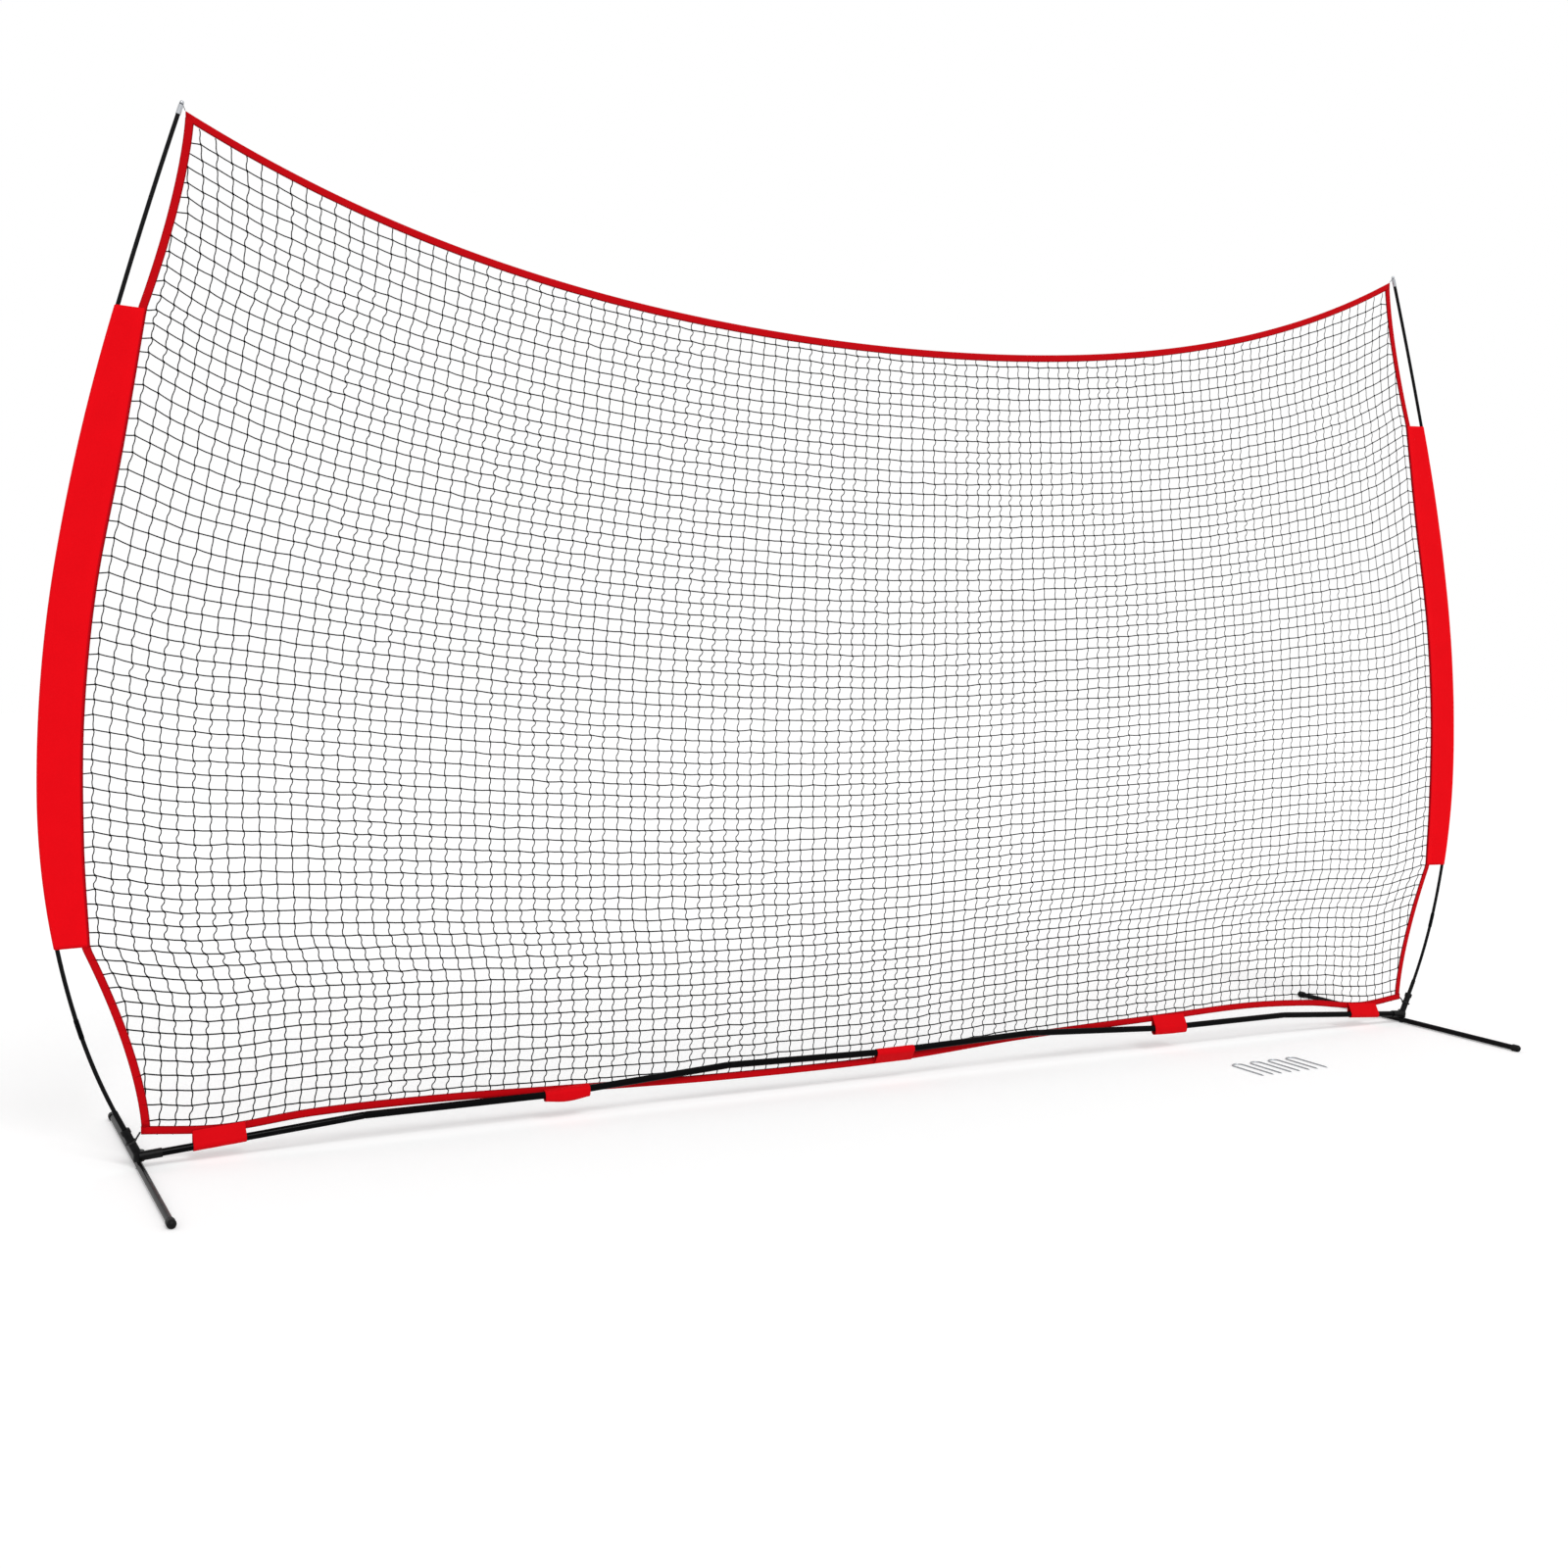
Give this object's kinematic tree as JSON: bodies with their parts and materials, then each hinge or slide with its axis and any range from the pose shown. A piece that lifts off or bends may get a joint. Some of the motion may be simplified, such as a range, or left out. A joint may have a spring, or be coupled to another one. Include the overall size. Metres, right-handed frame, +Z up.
{
  "type": "sports barrier net",
  "caption": "Free-standing sports barrier net: curved side poles in swivelling foot stands stretch a wide bound net over a jointed base tube.",
  "frame": {"origin": "on the ground, under the middle of the bounding box", "axes": "+X along the base to the viewer's right, +Y behind the net, +Z up; the front of the net faces -Y"},
  "size_m": [5.3768, 1.174, 2.9722],
  "materials": {
    "base_steel": "gloss",
    "foot_steel": "gloss",
    "black_steel": "satin",
    "moulded_nylon": "satin",
    "fibreglass": "satin",
    "bright_cap": "satin",
    "zinc_steel": "satin",
    "twine": "matte",
    "red_binding": "matte",
    "red_fabric": "matte",
    "grey_elastic": "matte",
    "black_elastic": "matte"
  },
  "bodies": {
    "frame": {"base_tube_1": "base_steel", "base_tube_2": "base_steel", "base_tube_3": "base_steel", "base_tube_4": "base_steel", "base_tube_5": "base_steel", "base_tube_6": "base_steel", "base_tube_7": "base_steel", "base_tube_8": "base_steel", "hub_left": "moulded_nylon", "hub_right": "moulded_nylon", "socket_collar_left": "moulded_nylon", "socket_collar_right": "moulded_nylon", "swivel_bolt_left": "zinc_steel", "swivel_bolt_right": "zinc_steel", "pole_root_left": "black_steel", "pole_root_right": "black_steel", "pole_rod_1_left": "fibreglass", "pole_rod_2_left": "fibreglass", "pole_rod_3_left": "fibreglass", "pole_rod_4_left": "fibreglass", "pole_rod_5_left": "fibreglass", "pole_rod_1_right": "fibreglass", "pole_rod_2_right": "fibreglass", "pole_rod_3_right": "fibreglass", "pole_rod_4_right": "fibreglass", "pole_rod_5_right": "fibreglass", "pole_ferrules_left": "bright_cap", "pole_ferrules_right": "bright_cap", "pole_tip_left": "bright_cap", "pole_tip_right": "bright_cap", "net_panel": "twine", "top_binding": "red_binding", "bottom_binding": "red_binding", "side_binding_left": "red_binding", "side_binding_right": "red_binding", "sleeve_left": "red_fabric", "sleeve_right": "red_fabric", "base_strap_1": "red_fabric", "base_strap_2": "red_fabric", "base_strap_3": "red_fabric", "base_strap_4": "red_fabric", "base_strap_5": "red_fabric", "top_elastic_left": "grey_elastic", "top_elastic_right": "grey_elastic", "bottom_elastic_left": "black_elastic", "bottom_elastic_right": "black_elastic", "ground_stakes": "zinc_steel"},
    "left_foot": {"foot_tube_left": "foot_steel", "foot_caps_left": "moulded_nylon"},
    "right_foot": {"foot_tube_right": "foot_steel", "foot_caps_right": "moulded_nylon"}
  },
  "joints": [
    {"name": "left_foot_swivel", "type": "hinge", "parent": "frame", "child": "left_foot", "pos_m": [-2.44, 0, 0.0125], "axis": [0, 0, 1], "range_deg": [0, 90]},
    {"name": "right_foot_swivel", "type": "hinge", "parent": "frame", "child": "right_foot", "pos_m": [2.44, 0, 0.0125], "axis": [0, 0, -1], "range_deg": [0, 90]}
  ]
}
